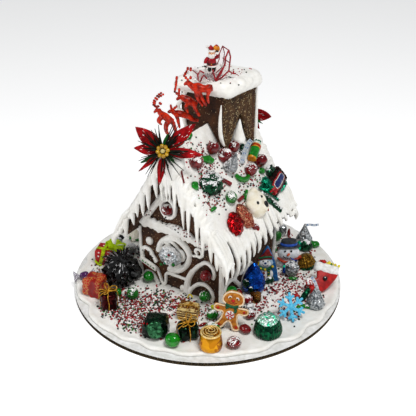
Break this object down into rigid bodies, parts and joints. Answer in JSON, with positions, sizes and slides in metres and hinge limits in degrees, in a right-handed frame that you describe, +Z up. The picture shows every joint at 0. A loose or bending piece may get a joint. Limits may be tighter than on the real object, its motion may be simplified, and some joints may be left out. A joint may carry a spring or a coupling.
{
  "type": "gingerbread house",
  "caption": "Gingerbread house with a square chimney on a round cake board, hung with icing and set about with sweets, presents, snowmen and a sleigh team.",
  "frame": {"origin": "centre of the round board's underside, on the surface it stands on", "axes": "+Z up; the roof's ridge runs along Y, the front gable with the door looks to -Y, and +X is to the right of someone facing the front gable"},
  "size_m": [0.302, 0.302, 0.2721],
  "materials": {
    "gingerbread": "dark baked gingerbread, matte and crumbly",
    "royal_icing": "hardened royal icing, satin",
    "red_plastic": "moulded translucent red plastic",
    "petal_cloth": "woven red petal cloth",
    "cream_fondant": "cream fondant, matte",
    "blue_foil": "blue foil, crinkled",
    "board_card": "white-topped corrugated cake board with a dark edge",
    "cherry_candy": "dark red sugar candy, glossy",
    "dark_film": "gathered black film, shiny",
    "golden_biscuit": "golden biscuit, matte",
    "gold_foil": "gold foil, pleated",
    "green_foil": "deep green foil, crinkled",
    "dark_red_foil": "dark red foil",
    "red_paper": "red paper with white dots",
    "red_foil": "red foil, crinkled",
    "red_fondant": "red fondant, satin",
    "green_wrap": "green wrapper",
    "red_paint": "painted plastic figure",
    "green_gum": "green gum ball, glossy",
    "white_sugar": "white sugar, satin",
    "silver_foil": "silver foil, crinkled",
    "clear_plastic": "clear moulded plastic with a red edge",
    "sky_sugar": "sky blue sugar paste",
    "blue_icing": "blue icing",
    "clear_wrap": "clear twist wrapper over a purple sweet",
    "bar_wrap": "printed wrapper, shiny"
  },
  "bodies": {
    "root": {"bear_head": "cream_fondant", "blue_egg": "blue_foil", "board": "board_card", "board_icing": "royal_icing", "cherry_drop_1": "cherry_candy", "cherry_drop_2": "cherry_candy", "cherry_drop_3": "cherry_candy", "chimney_back": "gingerbread", "chimney_front": "gingerbread", "chimney_icing": "royal_icing", "chimney_left": "gingerbread", "chimney_right": "gingerbread", "dark_bundle": "dark_film", "gable_ball": "cherry_candy", "gingerbread_man": "golden_biscuit", "gold_cup": "gold_foil", "green_bag_roof": "green_foil", "green_cup": "green_foil", "green_foil_sweet": "green_foil", "green_stick": "green_foil", "poinsettia_back": "petal_cloth", "poinsettia_front": "petal_cloth", "present_dark": "dark_red_foil", "present_gold": "gold_foil", "present_green": "green_foil", "present_lime": "red_paper", "red_box_sweet": "red_foil", "red_mitten": "red_foil", "red_stocking": "red_fondant", "reindeer_1": "red_plastic", "reindeer_2": "red_plastic", "reindeer_3": "red_plastic", "reindeer_4": "red_plastic", "ribbed_cup": "gold_foil", "roll_candy": "green_wrap", "roof_icing_left": "royal_icing", "roof_icing_right": "royal_icing", "roof_left": "gingerbread", "roof_right": "gingerbread", "santa": "red_paint", "side_ball": "green_gum", "side_sweet": "white_sugar", "silver_ball": "silver_foil", "silver_drop": "silver_foil", "silver_drop_back": "silver_foil", "silver_drop_roof": "silver_foil", "sleigh": "clear_plastic", "snowflake": "sky_sugar", "snowman_biscuit": "blue_icing", "snowman_pop": "white_sugar", "twist_candy": "clear_wrap", "wall_back": "gingerbread", "wall_ball_green": "green_gum", "wall_ball_left": "green_gum", "wall_ball_red": "cherry_candy", "wall_foil_sweet": "silver_foil", "wall_front": "gingerbread", "wall_left": "gingerbread", "wall_right": "gingerbread", "wrapped_bar": "bar_wrap"}
  },
  "joints": []
}
